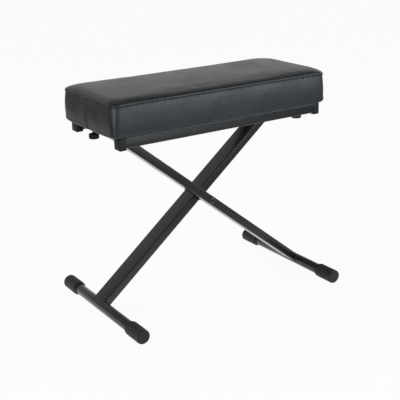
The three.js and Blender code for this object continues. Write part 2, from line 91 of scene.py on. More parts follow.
# Places that follow from the sizes and from the solids
cushion_low, cushion_high = extent("seat_cushion")
CUSHION_LENGTH, CUSHION_DEPTH = (cushion_high - cushion_low)[:2]
BOARD_BOTTOM = cushion_low[2]
SEAM_HEIGHT = BOARD_BOTTOM + BOXING
FOOT_HEIGHT = np.sqrt(CAP_RADIUS ** 2 - (FOOT_FLAT / 2) ** 2)
LEG_LENGTH, LEG_OFFSET = LEG_LOWER + LEG_UPPER, (LEG_SPACING + LEG_WIDTH) / 2
FOOT_REACH = LEG_LOWER * np.cos(OPEN_ANGLE)
CROSS_REACH = LEG_UPPER * np.cos(OPEN_ANGLE)
PIVOT_HEIGHT = FOOT_HEIGHT + LEG_LOWER * np.sin(OPEN_ANGLE)
CROSS_HEIGHT = FOOT_HEIGHT + LEG_LENGTH * np.sin(OPEN_ANGLE)


# Surfaces from grids of points

def grid_faces(rows, columns, loop=False):
    """Quads between each row and the next, all the way round; loop joins the last row to the first."""
    row = np.arange(rows if loop else rows - 1)[:, None]
    column = np.arange(columns)[None, :]
    below, beside = (row + 1) % rows, (column + 1) % columns
    corners = [row * columns + column, row * columns + beside,
               below * columns + beside, below * columns + column]
    return np.stack(np.broadcast_arrays(*corners), -1).reshape(-1, 4)


def grid_mesh(name, grids, loop=False):
    """A mesh from grids of points in millimetres, with collapsed rows merged and faces turned outwards.

    A grid's faces are turned by the sign of the volume that they close in."""
    points, faces, start = [], [], 0
    for grid in grids:
        rows, columns = grid.shape[:2]
        quads = grid_faces(rows, columns, loop)
        a, b, c, d = (grid.reshape(-1, 3)[quads[:, k]] for k in range(4))
        volume = np.einsum("ij,ij->", a, np.cross(b, c)) + np.einsum("ij,ij->", a, np.cross(c, d))
        faces.append((quads if volume > 0 else quads[:, ::-1]) + start)
        points.append(grid.reshape(-1, 3))
        start += rows * columns
    mesh = bpy.data.meshes.new(name)
    mesh.from_pydata((np.concatenate(points) / 1000.0).tolist(), [], np.concatenate(faces).tolist())
    work = bmesh.new()
    work.from_mesh(mesh)
    bmesh.ops.remove_doubles(work, verts=work.verts, dist=2e-6)
    bmesh.ops.dissolve_degenerate(work, edges=work.edges, dist=1e-7)
    work.to_mesh(mesh)
    work.free()
    return mesh


def mount(name, mesh, material, body, replaced=(), smooth_angle=None):
    """Puts a mesh on a body as a piece of the bench, with its finish and the solids that it stands for."""
    mesh.materials.append(material)
    mesh.polygons.foreach_set("use_smooth", np.ones(len(mesh.polygons), bool))
    if smooth_angle:
        mesh.set_sharp_from_angle(angle=np.radians(smooth_angle))
    thing = bpy.data.objects.new(name, mesh)
    bpy.context.scene.collection.objects.link(thing)
    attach(thing, body)
    if replaced:
        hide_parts(*replaced)
    return thing


def piece(name, grids, material, body, replaced=(), loop=False, smooth_angle=None):
    """One piece from a grid of points, or from a list of grids."""
    grids = grids if isinstance(grids, list) else [grids]
    return mount(name, grid_mesh(name, grids, loop), material, body, replaced, smooth_angle)


def machined(node, name, material, body, edge):
    """A copy of a solid with its flat faces joined and its edges rounded."""
    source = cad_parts[node].data
    points, corners = np.empty(len(source.vertices) * 3), np.empty(len(source.loops), np.int32)
    source.vertices.foreach_get("co", points)
    source.loops.foreach_get("vertex_index", corners)
    mesh = bpy.data.meshes.new(name)
    mesh.from_pydata(points.reshape(-1, 3).tolist(), [], corners.reshape(-1, 3).tolist())
    work = bmesh.new()
    work.from_mesh(mesh)
    bmesh.ops.remove_doubles(work, verts=work.verts, dist=2e-6)
    bmesh.ops.dissolve_limit(work, angle_limit=np.radians(0.5), verts=work.verts, edges=work.edges)
    work.to_mesh(mesh)
    work.free()
    thing = mount(name, mesh, material, body, [node], 35)
    bevel = thing.modifiers.new("round_edges", "BEVEL")
    bevel.width, bevel.segments = edge / 1000.0, 2
    bevel.limit_method, bevel.angle_limit = "ANGLE", np.radians(50)
    bevel.harden_normals = True


def eased(corners, radii, steps=4, closed=False):
    """A polyline with each corner P swapped for the curve (1-t)^2 A + 2t(1-t) P + t^2 B.

    A and B lie on the two edges that meet at P, at that corner's radius from it."""
    corners = np.asarray(corners, float)
    radii = np.broadcast_to(np.asarray(radii, float), len(corners))[:, None].copy()
    before, after = np.roll(corners, 1, 0) - corners, np.roll(corners, -1, 0) - corners
    if not closed:
        radii[[0, -1]] = 0.0
    reach = [np.linalg.norm(side, axis=1, keepdims=True) for side in (before, after)]
    a, b = (corners + side / np.maximum(length, 1e-9) * np.minimum(radii, length * 0.49)
            for side, length in zip((before, after), reach))
    t = np.linspace(0, 1, steps + 1)[None, :, None]
    path = (1 - t) ** 2 * a[:, None] + 2 * t * (1 - t) * corners[:, None] + t ** 2 * b[:, None]
    path = path.reshape(-1, corners.shape[1])
    keep = np.r_[True, np.linalg.norm(np.diff(path, axis=0), axis=1) > 1e-4]
    return path[keep]


def turned(profile, centre, axis="y", columns=64, wobble=None):
    """Profile points (radius r, place h along the axis) swept in a circle about it.

    A point at the angle a is centre + r (cos a U + sin a V) + h W."""
    profile = np.asarray(profile, float)
    angle = np.linspace(0, 2 * np.pi, columns, endpoint=False)
    u, v, w = {"y": ((1, 0, 0), (0, 0, 1), (0, 1, 0)), "z": ((1, 0, 0), (0, 1, 0), (0, 0, 1))}[axis]
    radius = profile[:, :1] * np.ones(columns)
    if wobble is not None:
        radius = radius + wobble(profile, angle)
    ring = radius[..., None] * (np.cos(angle)[:, None] * np.array(u) + np.sin(angle)[:, None] * np.array(v))
    return np.array(centre, float) + ring + profile[:, 1][:, None, None] * np.array(w, float)


def soft_box(low, high, radius, steps=3):
    """A box with round edges: an eighth of a ball at each corner of a smaller box, joined by flats."""
    low, high = np.array(low, float), np.array(high, float)
    half, centre = (high - low) / 2, (high + low) / 2
    quarter = np.linspace(0, np.pi / 2, steps + 1)
    turn = (np.arange(4)[:, None] * np.pi / 2 + quarter).ravel()
    sign_x = np.repeat([1, -1, -1, 1], steps + 1)
    sign_y = np.repeat([1, 1, -1, -1], steps + 1)
    tilt = np.r_[quarter - np.pi / 2, quarter]
    sign_z = np.repeat([-1, 1], steps + 1)
    ball = np.stack([np.cos(tilt)[:, None] * np.cos(turn), np.cos(tilt)[:, None] * np.sin(turn),
                     np.sin(tilt)[:, None] * np.ones_like(turn)], -1)
    signs = np.stack(np.broadcast_arrays(sign_x[None, :], sign_y[None, :], sign_z[:, None]), -1)
    grid = centre + signs * (half - radius) + radius * ball
    pole = np.broadcast_to(centre, grid[:1].shape).copy()
    bottom, top = pole.copy(), pole.copy()
    bottom[..., 2], top[..., 2] = low[2], high[2]
    return np.concatenate([bottom, grid, top])


def threads(middles, along, out, length=3.4, girth=0.3):
    """Short rounded stitches: a thin ring of radius g sqrt(1 - t^4), carried along the arch 0.15 - 0.4 t^2.

    They are laid at the middles, along one direction and lifted in the other."""
    t = np.linspace(-1, 1, 5)[:, None]
    angle = np.linspace(0, 2 * np.pi, 6, endpoint=False)[None, :]
    across = np.cross(along, out)
    radius = girth * np.sqrt(np.clip(1 - t ** 4, 0, 1))
    lift = 0.15 - 0.4 * t ** 2 + radius * np.cos(angle)
    reach, side = length / 2 * (t + 0 * angle), radius * np.sin(angle)
    shape = [part[None, ..., None] * way[:, None, None, :]
             for part, way in ((reach, along), (lift, out), (side, across))]
    return list(middles[:, None, None, :] + sum(shape))


def section(width, height, radius, steps=6):
    """A closed rectangle outline with round corners, as points (y, z)."""
    y, z = width / 2, height / 2
    return eased([(y, -z), (y, z), (-y, z), (-y, -z)], radius, steps, closed=True)


def leg_place(points, foot_side, offset):
    """Points on a leg, with x from the foot tube's axis to the cross tube's, turned to the leg's slope."""
    slope = OPEN_ANGLE if foot_side < 0 else np.pi - OPEN_ANGLE
    x, y, z = points[..., 0], points[..., 1], points[..., 2]
    return np.stack([foot_side * FOOT_REACH + x * np.cos(slope) - z * np.sin(slope), y + offset,
                     FOOT_HEIGHT + x * np.sin(slope) + z * np.cos(slope)], -1)


# Finishes

def finish(name, colour, roughness, metallic=0.0, specular=0.5, spread=0.0, grain=()):
    """A surface colour that varies softly over the piece, roughness that varies with it, and layers of
    grain, each given as (pattern, size in millimetres, height in millimetres)."""
    material = bpy.data.materials.new(name)
    material.use_nodes = True
    nodes, links = material.node_tree.nodes, material.node_tree.links
    shader = nodes["Principled BSDF"]
    shader.inputs["Metallic"].default_value = metallic
    shader.inputs["Specular IOR Level"].default_value = specular
    place = nodes.new("ShaderNodeTexCoord").outputs["Object"]
    cloud = nodes.new("ShaderNodeTexNoise")
    cloud.inputs["Scale"].default_value = 14.0
    cloud.inputs["Detail"].default_value = 5.0
    links.new(place, cloud.inputs["Vector"])
    tint = nodes.new("ShaderNodeMix")
    tint.data_type = "RGBA"
    tint.inputs["A"].default_value = [c * (1 - spread) for c in colour] + [1]
    tint.inputs["B"].default_value = [c * (1 + spread) for c in colour] + [1]
    links.new(cloud.outputs["Fac"], tint.inputs["Factor"])
    links.new(tint.outputs["Result"], shader.inputs["Base Color"])
    rub = nodes.new("ShaderNodeMapRange")
    rub.inputs["From Min"].default_value, rub.inputs["From Max"].default_value = 0.3, 0.7
    rub.inputs["To Min"].default_value = roughness[0]
    rub.inputs["To Max"].default_value = roughness[1]
    links.new(cloud.outputs["Fac"], rub.inputs["Value"])
    links.new(rub.outputs["Result"], shader.inputs["Roughness"])
    normal = None
    for pattern, size, height in grain:
        if pattern == "cells":
            texture = nodes.new("ShaderNodeTexVoronoi")
            texture.feature = "DISTANCE_TO_EDGE"
            value = texture.outputs["Distance"]
        else:
            texture = nodes.new("ShaderNodeTexNoise")
            texture.inputs["Detail"].default_value = 3.0
            value = texture.outputs["Fac"]
        texture.inputs["Scale"].default_value = 1000.0 / size
        links.new(place, texture.inputs["Vector"])
        bump = nodes.new("ShaderNodeBump")
        bump.inputs["Distance"].default_value = height / 1000.0
        links.new(value, bump.inputs["Height"])
        if normal:
            links.new(normal, bump.inputs["Normal"])
        normal = bump.outputs["Normal"]
    if normal:
        links.new(normal, shader.inputs["Normal"])
    return material


vinyl = finish("vinyl", (0.0145, 0.0168, 0.0188), (0.36, 0.44), spread=0.12,
               grain=[("cells", 1.6, 0.12), ("noise", 0.5, 0.05), ("noise", 30.0, 0.9)])
thread = finish("seam_thread", (0.014, 0.014, 0.015), (0.6, 0.7), grain=[("noise", 0.3, 0.05)])
powder_coat = finish("powder_coat", (0.009, 0.010, 0.0108), (0.2, 0.27), spread=0.08,
                     grain=[("noise", 1.1, 0.05), ("noise", 0.35, 0.02)])
foot_rubber = finish("foot_rubber", (0.010, 0.0105, 0.011), (0.42, 0.5), specular=0.32, spread=0.15,
                     grain=[("noise", 0.6, 0.05)])
moulded_plastic = finish("moulded_plastic", (0.008, 0.0085, 0.009), (0.42, 0.5), specular=0.3,
                         spread=0.1, grain=[("noise", 0.8, 0.03)])
# Painted shade: the lock screws are plated steel, drawn far darker than bright zinc for the shade they sit in
# under the cross tubes and the seat
zinc_with_painted_shade = finish("zinc_with_painted_shade", (0.05, 0.05, 0.052), (0.3, 0.4), metallic=1.0,
                    grain=[("noise", 0.9, 0.02)])
zinc = finish("zinc_plate", (0.60, 0.61, 0.63), (0.28, 0.4), metallic=1.0, spread=0.06,
              grain=[("noise", 0.9, 0.02)])
plywood = finish("plywood", (0.30, 0.21, 0.13), (0.6, 0.75), spread=0.25, grain=[("noise", 3.0, 0.1)])


# Cushion

STRAIGHT_X, STRAIGHT_Y = CUSHION_LENGTH / 2 - CUSHION_CORNER, CUSHION_DEPTH / 2 - CUSHION_CORNER
CORNER_RUN = CUSHION_CORNER * np.pi / 2
RUNS = np.cumsum([0, 2 * STRAIGHT_Y, CORNER_RUN, 2 * STRAIGHT_X, CORNER_RUN,
                  2 * STRAIGHT_Y, CORNER_RUN, 2 * STRAIGHT_X, CORNER_RUN])
GIRTH = RUNS[-1]
JOIN_RUN = RUNS[4] + STRAIGHT_Y


def edge_runs(count):
    """Distances along the cushion's edge, spaced more closely round the corners and at the boxing's join.

    They divide evenly the running sum of a weight: 1, and more on a corner and at the join."""
    corner_weight, join_weight, margin = 2.2, 3.5, 5.0
    run = np.linspace(0, GIRTH, 20001)
    corner = sum((run >= RUNS[k]) & (run < RUNS[k + 1]) for k in (1, 3, 5, 7))
    join = np.abs(run - JOIN_RUN + LAP / 2) < LAP / 2 + margin
    weight = np.cumsum(1 + corner_weight * corner + join_weight * join)
    weight = (weight - weight[0]) / (weight[-1] - weight[0])
    return np.interp(np.arange(count) / count, weight, run)


def cushion_ring(run, inset, outset=0.0, firm=0.0):
    """The cushion's outline at an inset: corner centres on a smaller rectangle, plus radius times outwards.

    The corner radius grows with the inset, so that the top's corners are softer than the sides'. Firm is
    the share by which it has come down to the radius at the base."""
    x, y = STRAIGHT_X, STRAIGHT_Y
    centre = np.stack([np.interp(run, RUNS, [x, x, x, -x, -x, -x, -x, x, x]),
                       np.interp(run, RUNS, [-y, y, y, y, y, -y, -y, -y, -y])], -1)
    angle = np.interp(run, RUNS, np.radians([0, 0, 90, 90, 180, 180, 270, 270, 360]))
    outward = np.stack([np.cos(angle), np.sin(angle)], -1)
    radius = CUSHION_CORNER + inset * CORNER_GROWTH - firm * (CUSHION_CORNER - BASE_CORNER)
    shrink = [(side - inset - radius) / (side - CUSHION_CORNER)
              for side in (CUSHION_LENGTH / 2, CUSHION_DEPTH / 2)]
    shrink = np.stack(np.broadcast_arrays(*shrink), -1)
    return centre * shrink + np.expand_dims(radius + outset, -1) * outward, outward


def ripple(run, level, seed, length, tall, count=14):
    """A soft random swell: a sum of sines with seeded lengths, slopes and phases, of about unit height."""
    random = np.random.default_rng(seed)
    total = 0.0
    for _ in range(count):
        turns = np.round(GIRTH / (length * random.uniform(0.6, 1.8)))
        phase = random.uniform(0, 2 * np.pi)
        rise = random.uniform(-1, 1) * 2 * np.pi / tall
        total = total + np.sin(2 * np.pi * turns * run / GIRTH + rise * level + phase)
    return total / np.sqrt(count / 2)


def corner_drop(x, y):
    """How far the top sinks: the square of the closeness to a corner of the seat, times the drop there.

    The drop is larger at the right-hand corners than at the left-hand ones."""
    gap = np.hypot(CUSHION_LENGTH / 2 - np.abs(x), CUSHION_DEPTH / 2 - np.abs(y))
    drop = CORNER_DROP * (1 + DROP_TILT * x / (CUSHION_LENGTH / 2))
    return drop * np.maximum(0, 1 - gap / CORNER_REACH) ** 2


def crown(x, y):
    """The top's swell: a product of two parabolas, level in the middle, that start at the cushion's edges."""
    share_x, share_y = (np.clip((side - np.abs(place)) / (CUSHION_DEPTH / 2), 0, 1)
                        for side, place in ((CUSHION_LENGTH / 2, x), (CUSHION_DEPTH / 2, y)))
    return CROWN * (1 - (1 - share_x) ** 2) * (1 - (1 - share_y) ** 2)


def cushion_grid(run, detail=1.0):
    """The cover as rows of rings: under the board, up the boxing, over the seam and the roll to the crown.

    The roll is a quarter turn, w (1 - cos a) wide and h sin(a)^0.92 high. The lower edge lifts towards each
    corner by a bell curve of the distance from it. Detail is the share of the fine work: swells, the seam's
    puckers, the join's lap and the corner pleats."""
    rows = []
    hem = HEM_WIDTH + HEM_SWAY * ripple(run, 0, 3, 60, 1e9) * detail
    rows.append(np.c_[np.zeros((len(run), 2)), np.full(len(run), BOARD_BOTTOM + HEM_LIFT)])
    for inset, lift in ((hem, HEM_LIFT), (hem, UNDERSIDE), (np.full(len(run), EDGE_FLAT), UNDERSIDE)):
        rows.append(np.c_[cushion_ring(run, inset, 0.0, 1.0)[0], np.full(len(run), BOARD_BOTTOM + lift)])

    # The profile from the lower edge to the seam and over it, as (inset, height over the board's underside)
    edge = eased([(EDGE_INSET, UNDERSIDE), (1.2, UNDERSIDE), (DRAW_IN * 0.6, EDGE_RISE)],
                 [0, EDGE_INSET, 0], 9)[1:]
    share = np.linspace(0.13, 0.955, 24)
    side = np.c_[DRAW_IN * (2 * share - 1) ** 2, share * BOXING]
    seam = np.array([(1.3, -2.3), (1.0, -1.2), (1.4, -0.5), (2.4, -0.15), (3.0, 0.0), (2.4, 0.2),
                     (1.0, 0.5), (0.5, 1.1), (0.45, 2.1), (0.55, SEAM_LIP)]) + [0, BOXING]
    turn = np.linspace(0.09, 1, 15) * np.pi / 2
    roll = np.c_[0.6 + (ROLL_WIDTH - 0.6) * (1 - np.cos(turn)),
                 BOXING + SEAM_LIP + (ROLL_RISE - SEAM_LIP) * np.sin(turn) ** 0.92]

    rim, _ = cushion_ring(run, 0.0)
    pleat, tuck = (np.exp(-((np.abs(rim[:, 0]) - CUSHION_LENGTH / 2 + inwards) ** 2
                            + (np.abs(rim[:, 1]) - CUSHION_DEPTH / 2 + inwards) ** 2) / reach ** 2)
                   for inwards, reach in ((PLEAT_INSET, PLEAT_REACH), (0, TUCK_REACH)))
    from_join = (run - JOIN_RUN + GIRTH / 2) % GIRTH - GIRTH / 2
    lap = LAP_STEP * (np.clip((from_join + LAP + LAP_SLOPE) / (2 * LAP_SLOPE), 0, 1)
                      - np.clip(from_join + LAP_SLOPE, 0, 1))
    for crease, height in [(0.0, -JOIN_DEPTH)] + [(row, JOIN_RIDGE) for row in STITCH_ROWS]:
        lap = lap + height * np.exp(-((from_join - crease) / JOIN_WIDTH) ** 2)
    for inset, height in np.concatenate([edge, side, seam, roll]):
        share = np.clip(height / BOXING, 0, 1)
        slack = np.sin(np.pi * share) ** 0.7 if 0 < share < 1 else 0.0
        near_seam = np.exp(-((height - BOXING) / 5.0) ** 2)
        swell = (SWELL * slack * ripple(run, height, 5, 95, 260)
                 + PUCKER * near_seam * ripple(run, 0, 8, 16, 1e9))
        gather = PLEAT_DEPTH * np.exp(-((height - EDGE_RISE) / PLEAT_REACH) ** 2) * pleat
        below = np.clip((BOXING + 1 - height) / 4, 0, 1)
        ring, _ = cushion_ring(run, inset, detail * (swell + gather + lap * below), 1 - share)
        level = BOARD_BOTTOM + height + crown(*ring.T) * np.clip((height - BOXING) / 6, 0, 1)
        lift = TUCK_RISE * tuck * np.clip(1 - height / TUCK_HEIGHT, 0, 1)
        level = level + lift * np.clip((EDGE_INSET - inset) / 5, 0, 1)
        rows.append(np.c_[ring, level - corner_drop(*ring.T) * share])

    last = rows[-1][:, :2]
    for scale in np.linspace(1, 0, 26)[1:]:
        ring = last * scale
        dimple = DIMPLE * np.sin(ring[:, 0] / 47 + 1) * np.sin(ring[:, 1] / 31 + 2) * (1 - scale ** 4)
        level = SEAM_HEIGHT + ROLL_RISE + crown(*ring.T) - corner_drop(*ring.T) + detail * dimple
        rows.append(np.c_[ring, level])
    return np.array(rows)


def pressed_out(points):
    """How far the cover moves at each point when the foam swells inside it.

    A coarse closed copy of the cover is blown up as cloth, held along its lower edge and its seam. Its
    movement, kept under a limit, is averaged in cells and read back between their centres."""
    cell, limit = 9.0, 2.2
    plain = bpy.data.objects.new("cover_copy", grid_mesh("cover_copy", [cushion_grid(edge_runs(300), 0.0)]))
    bpy.context.scene.collection.objects.link(plain)
    remesh = plain.modifiers.new("even_mesh", "REMESH")
    remesh.mode, remesh.voxel_size = "VOXEL", 0.006
    mesh = bpy.data.meshes.new_from_object(plain.evaluated_get(bpy.context.evaluated_depsgraph_get()))
    pad = bpy.data.objects.new("cover_cloth", mesh)
    bpy.context.scene.collection.objects.link(pad)
    start = np.empty(len(mesh.vertices) * 3)
    mesh.vertices.foreach_get("co", start)
    start = start.reshape(-1, 3) * 1000
    side_gap = np.minimum(CUSHION_LENGTH / 2 - np.abs(start[:, 0]), CUSHION_DEPTH / 2 - np.abs(start[:, 1]))
    seam_gap = start[:, 2] + corner_drop(*start[:, :2].T) - SEAM_HEIGHT
    held = (start[:, 2] < BOARD_BOTTOM + 5) | ((side_gap < 9) & (np.abs(seam_gap) < 3.5))
    pad.vertex_groups.new(name="held").add(np.nonzero(held)[0].tolist(), 1.0, "REPLACE")
    settings = pad.modifiers.new("cloth", "CLOTH").settings
    settings.quality, settings.mass, settings.shrink_min = 5, 0.3, -0.008
    settings.tension_stiffness, settings.compression_stiffness = 12.0, 12.0
    settings.shear_stiffness, settings.bending_stiffness = 6.0, 0.6
    settings.use_pressure, settings.uniform_pressure_force = True, 4.0
    settings.vertex_group_mass = "held"
    settings.effector_weights.gravity = 0.0
    for number in range(1, 19):
        bpy.context.scene.frame_set(number)
    blown = pad.evaluated_get(bpy.context.evaluated_depsgraph_get()).to_mesh()
    moved = np.empty(len(blown.vertices) * 3)
    blown.vertices.foreach_get("co", moved)
    moved = moved.reshape(-1, 3) * 1000 - start
    for thing in (plain, pad):
        bpy.data.meshes.remove(thing.data)
    bpy.context.scene.frame_set(1)
    moved = moved * limit / (limit + np.linalg.norm(moved, axis=1, keepdims=True))

    low = start.min(0) - 2 * cell
    shape = tuple(((start.max(0) - low) / cell).astype(int) + 4)
    total, weight = np.zeros(shape + (3,)), np.zeros(shape + (1,))
    index = tuple(np.round((start - low) / cell).astype(int).T)
    np.add.at(total, index, moved)
    np.add.at(weight, index, 1.0)
    for axis in (0, 1, 2):
        total, weight = (np.roll(field, 1, axis) + 2 * field + np.roll(field, -1, axis)
                         for field in (total, weight))
    field = total / np.maximum(weight, 1e-9)
    place = (points - low) / cell
    base = np.clip(place.astype(int), 0, np.array(shape) - 2)
    part = place - base
    out = 0.0
    for step in np.ndindex(2, 2, 2):
        share = np.prod(np.where(step, part, 1 - part), axis=-1, keepdims=True)
        out = out + share * field[tuple(np.moveaxis(base + step, -1, 0))]
    return out


cover_runs = edge_runs(1040)
cover = cushion_grid(cover_runs)
cover[4:] += pressed_out(cover[4:])
cushion = piece("cushion_cover", cover, vinyl, "seat", ["seat_cushion"])


def seam_stitches():
    """Stitches laid end to end in the seam, where its groove is deepest."""
    count = int(GIRTH / STITCH_PITCH)
    run = (np.arange(count) + 0.5) * GIRTH / count
    ring, outward = cushion_ring(run, 2.9)
    out = np.c_[outward, np.zeros(count)]
    along = np.stack([-outward[:, 1], outward[:, 0], np.zeros(count)], -1)
    return threads(np.c_[ring, SEAM_HEIGHT + 0.1 - corner_drop(*ring.T)], along, out)


def join_stitches(crease):
    """An upright row of stitches on the left end, on the cover's own surface at a distance from the join."""
    column = cover[8:40, np.argmin(np.abs(cover_runs - (JOIN_RUN + crease)))]
    level = np.arange(BOARD_BOTTOM + 9, SEAM_HEIGHT - 4, STITCH_PITCH)
    middles = np.stack([np.interp(level, column[:, 2], column[:, k]) for k in (0, 1)] + [level], -1)
    along, out = (np.tile(way, (len(level), 1)) for way in ((0.0, 0, 1), (-1.0, 0, 0)))
    return threads(middles - [0.1, 0, 0], along, out, 3.2, 0.34)


piece("seam_stitches", seam_stitches(), thread, "seat")
piece("join_stitches", [stitch for row in STITCH_ROWS for stitch in join_stitches(row)], thread, "seat")


# Legs, feet and cross tubes

def leg_grid():
    """A rectangular tube with its wall, whose ends follow the round tubes.

    They lie at x = sqrt(R^2 - z^2) at the foot and length - sqrt(R^2 - z^2) at the top."""
    outer = section(LEG_WIDTH, LEG_THICKNESS, LEG_CORNER)
    inner = section(LEG_WIDTH - 2 * LEG_WALL, LEG_THICKNESS - 2 * LEG_WALL, LEG_CORNER - LEG_WALL)
    share = np.linspace(0, 1, 5)[:, None]

    def skin(outline):
        y, z = outline.T
        start = np.sqrt((FOOT_RADIUS + 0.05) ** 2 - z ** 2)
        end = LEG_LENGTH - np.sqrt(np.clip((CROSS_RADIUS + 0.05) ** 2 - z ** 2, 0, None))
        x = start + share * (end - start)
        return np.stack([x, y + 0 * x, z + 0 * x], -1)

    return np.concatenate([skin(outer), skin(inner)[::-1]])


def weld_grid(columns=160):
    """A bead round the foot joint: a small ring carried along the leg's outline on the foot tube.

    Its radius has two sines along the way, as ripples."""
    outline = section(LEG_WIDTH, LEG_THICKNESS, LEG_CORNER, 8)
    step = np.r_[0, np.cumsum(np.linalg.norm(np.diff(np.r_[outline, outline[:1]], axis=0), axis=1))]
    run = np.linspace(0, step[-1], columns, endpoint=False)
    y = np.interp(run, step, np.r_[outline[:, 0], outline[0, 0]])
    z = np.interp(run, step, np.r_[outline[:, 1], outline[0, 1]])
    away = np.stack([np.roll(z, -1) - np.roll(z, 1), np.roll(y, 1) - np.roll(y, -1)], -1)
    away = away / np.linalg.norm(away, axis=1, keepdims=True)
    x = np.sqrt(FOOT_RADIUS ** 2 - z ** 2)
    angle = np.linspace(0, 2 * np.pi, 10, endpoint=False)[:, None]
    radius = 1.7 + 0.25 * np.sin(run / 1.1) + 0.15 * np.sin(run / 4.3)
    return np.stack([x + 0.6 + radius * np.cos(angle), y + away[:, 0] * radius * np.sin(angle),
                     z + away[:, 1] * radius * np.sin(angle)], -1)


def tube_profile(radius, wall, half):
    """The closed outline of a round tube's wall, with eased ends."""
    return eased([(radius - wall, -half), (radius, -half), (radius, half), (radius - wall, half)], 0.3, 3,
                 closed=True)


def foot_cap(side):
    """A turned cap: plain collar, step, fluted sleeve and rounded end, flat where it stands on the floor.

    The flutes are cosines of the angle."""
    mouth, bore, tip = FOOT_SPAN / 2 - CAP_LENGTH, FOOT_RADIUS + 0.1, CAP_LENGTH - 5
    head = eased([(bore, CAP_LENGTH - CAP_END_WALL - 1), (bore, 0), (COLLAR_RADIUS, 0),
                  (COLLAR_RADIUS, COLLAR_LENGTH), (CAP_RADIUS, COLLAR_LENGTH + 0.4),
                  (CAP_RADIUS, COLLAR_LENGTH + 4)], [0, 0.4, 1.2, 0.8, 1.4, 0], 8)
    steps = np.linspace(COLLAR_LENGTH + 4, tip, 6)[1:]
    tail = eased([(CAP_RADIUS, tip), (CAP_RADIUS, CAP_LENGTH), (0, CAP_LENGTH)], [0, 4.2, 0], 8)[1:]
    profile = np.concatenate([head, np.c_[np.full(len(steps), CAP_RADIUS), steps], tail])

    def flutes(_, angle):
        begin = np.clip((profile[:, 1] - COLLAR_LENGTH - 0.3) / 1.5, 0, 1) * (profile[:, 0] > bore + 1)
        fade = np.clip((CAP_LENGTH - 0.4 - profile[:, 1]) / 3.5, 0, 1) * begin
        dip = 0.5 - 0.5 * np.cos(FLUTES * angle)
        return -FLUTE_DEPTH * fade[:, None] * (1 - (1 - dip) ** 1.6)

    grid = turned(profile * [1, side] + [0, side * mouth], (0, 0, FOOT_HEIGHT), "y", FLUTES * 8, flutes)
    grid[..., 2] = np.maximum(grid[..., 2], 0)
    return grid


for leg, foot_side, foot, top in (("rear_leg", -1, "left", "right"), ("front_leg", 1, "right", "left")):
    offset = -foot_side * LEG_OFFSET
    piece(f"{leg}_tube_skin", leg_place(leg_grid(), foot_side, offset), powder_coat, leg,
          [f"{leg}_tube"], loop=True, smooth_angle=40)
    piece(f"{leg}_weld", leg_place(weld_grid(), foot_side, offset), powder_coat, leg,
          loop=True)
    at = (foot_side * FOOT_REACH, -foot_side * FOOT_SHIFT, FOOT_HEIGHT)
    tube = tube_profile(FOOT_RADIUS, FOOT_WALL, FOOT_SPAN / 2 - CAP_END_WALL - GAP)
    piece(f"{foot}_foot_bar", turned(tube, at, "y", 72), powder_coat, leg,
          [f"{foot}_foot_tube"], loop=True)
    for end, side in (("front", -1), ("rear", 1)):
        piece(f"{foot}_foot_{end}_sleeve", foot_cap(side) + [at[0], at[1], 0], foot_rubber, leg,
              [f"{foot}_foot_{end}_cap"])
    at = (-foot_side * CROSS_REACH, 0, CROSS_HEIGHT)
    half = CROSS_LENGTH / 2
    piece(f"{top}_cross_bar", turned(tube_profile(CROSS_RADIUS, CROSS_WALL, half), at, "y", 48), powder_coat,
          leg, [f"{top}_cross_tube"], loop=True)
    stem = CROSS_RADIUS - CROSS_WALL - GAP
    for end, side in (("front", -1), ("rear", 1)):
        plug = eased([(0, half - PLUG_DEPTH), (stem, half - PLUG_DEPTH),
                      (stem, half + GAP), (CROSS_RADIUS, half + GAP),
                      (CROSS_RADIUS, half + PLUG_FLANGE), (0, half + PLUG_FLANGE)],
                     [0, 0.6, 0.2, 0.3, 0.8, 0], 4) * [1, side]
        piece(f"{top}_cross_{end}_stopper", turned(plug, at, "y", 40), moulded_plastic, leg,
              [f"{top}_cross_{end}_plug"])


# Pivot

FACE = LEG_SPACING / 2 + LEG_WIDTH
at = (0, 0, PIVOT_HEIGHT)
turn = np.linspace(0, np.pi / 2, 12)
dome = np.c_[HEAD_RADIUS * np.sin(turn), -FACE - GAP - HEAD_HEIGHT * np.cos(turn) ** 0.9]
socket = eased([(0, -FACE - 2.2), (2.9, -FACE - 2.2), (3.1, -FACE - HEAD_HEIGHT)], [0, 0.3, 0], 3)
washer_from, nut_from = FACE + GAP, FACE + WASHER_THICKNESS + 2 * GAP
nut_to = nut_from + NUT_HEIGHT
bolt = np.concatenate([socket, dome[dome[:, 0] > 3.6],
                       [(BOLT_RADIUS, -FACE - GAP), (BOLT_RADIUS, nut_to + THREAD_END - 1),
                        (BOLT_RADIUS - 0.8, nut_to + THREAD_END), (0, nut_to + THREAD_END)]])
piece("pivot_button_bolt", turned(bolt, at, "y", 48), powder_coat, "rear_leg",
      ["pivot_bolt"], smooth_angle=50)
spacer_half = LEG_SPACING / 2 - RUNNING_GAP
for name, outer, start, end, round_over, material, slot, node in (
        ("pivot_slip_disc", SPACER_RADIUS, -spacer_half, spacer_half, 0.6, moulded_plastic, "black_plastic",
         "pivot_spacer"),
        ("pivot_plain_washer", WASHER_RADIUS, washer_from, washer_from + WASHER_THICKNESS, 0.3, zinc,
         "plated_steel", "pivot_washer")):
    inner = BOLT_RADIUS + GAP
    ring = eased([(inner, start), (outer, start), (outer, end), (inner, end)], round_over, 3, closed=True)
    piece(name, turned(ring, at, "y", 64), material, "rear_leg", [node], loop=True)


def hexagon(profile, angle):
    """The reach of a hexagon with the nut's width across flats, limited by the profile's own radius.

    Only what lies outside the nut's neck is cut."""
    neck = 6.5
    flat = NUT_FLATS / 2 / np.cos((angle + np.pi / 6) % (np.pi / 3) - np.pi / 6)
    outer = profile[:, 0] > neck
    return np.where(outer[:, None], np.minimum(flat, profile[:, :1]) - profile[:, :1], 0.0)


